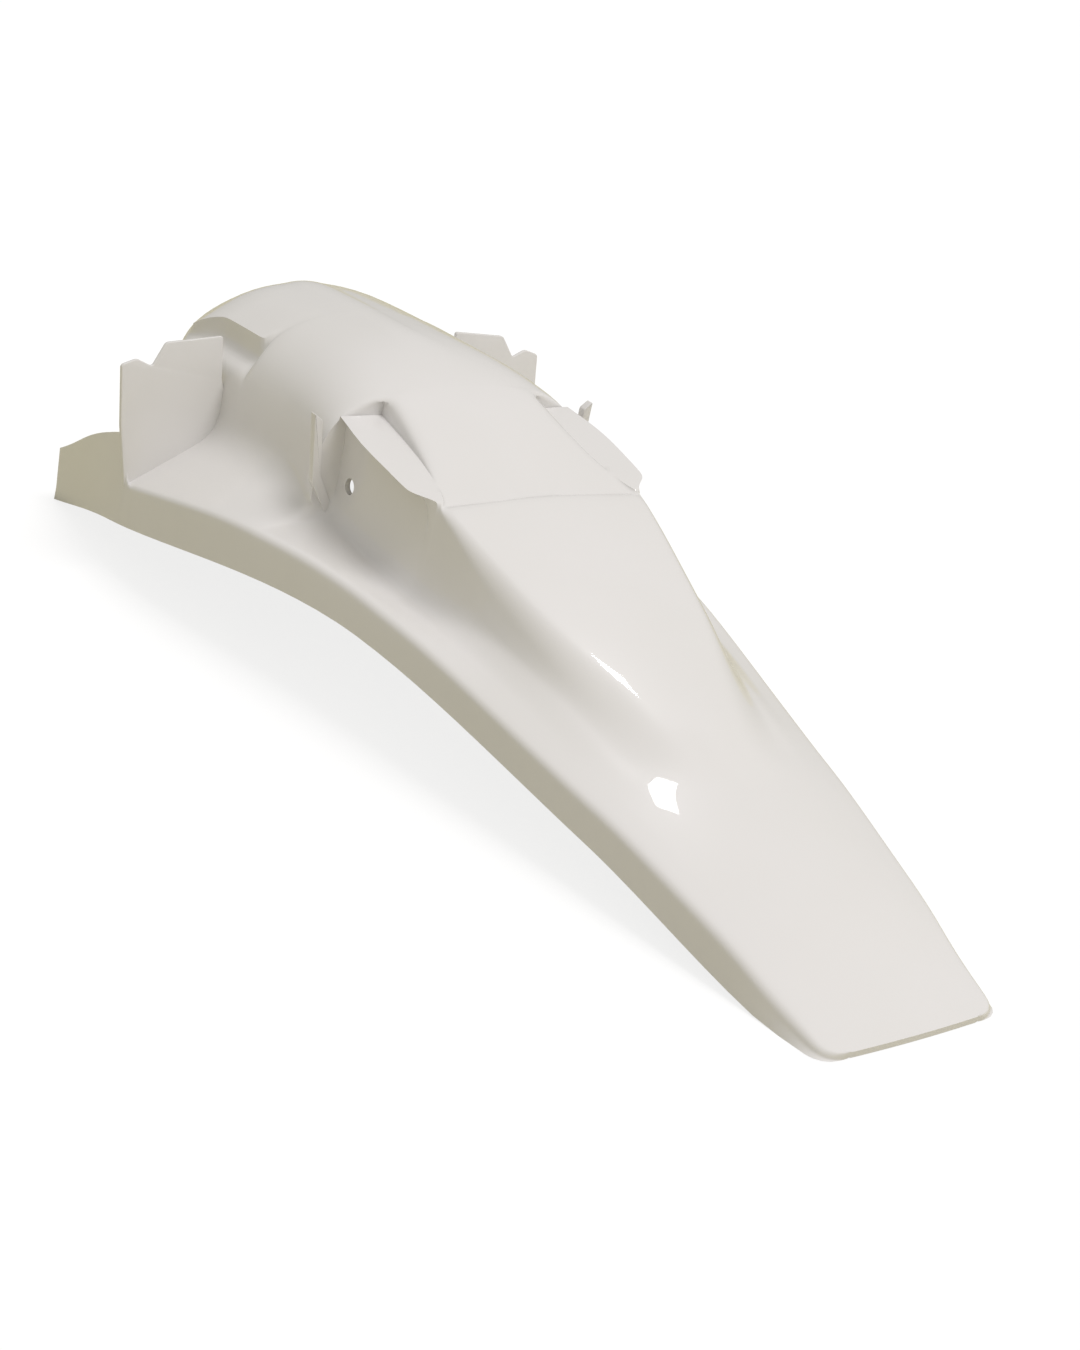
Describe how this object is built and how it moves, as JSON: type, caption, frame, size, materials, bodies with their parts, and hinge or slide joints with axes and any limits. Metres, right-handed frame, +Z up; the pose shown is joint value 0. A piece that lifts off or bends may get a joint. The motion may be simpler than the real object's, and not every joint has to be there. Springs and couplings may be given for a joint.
{
  "type": "motorcycle rear fender",
  "caption": "Rear fender of an off-road motorcycle: one thin moulding with a wheel hump, seat step, raised panel, side skirts and notched cross walls.",
  "frame": {"origin": "centre of the bounding box at its bottom, where the tail end and the front wings touch Z = 0", "axes": "+X to the right, +Y towards the front of the motorcycle, +Z up; the fender is level with its tail end and front wings"},
  "size_m": [0.27, 0.64, 0.1551],
  "materials": {
    "shell": "glossy white moulded polypropylene"
  },
  "bodies": {
    "root": {"fender_shell": "shell"}
  },
  "joints": []
}
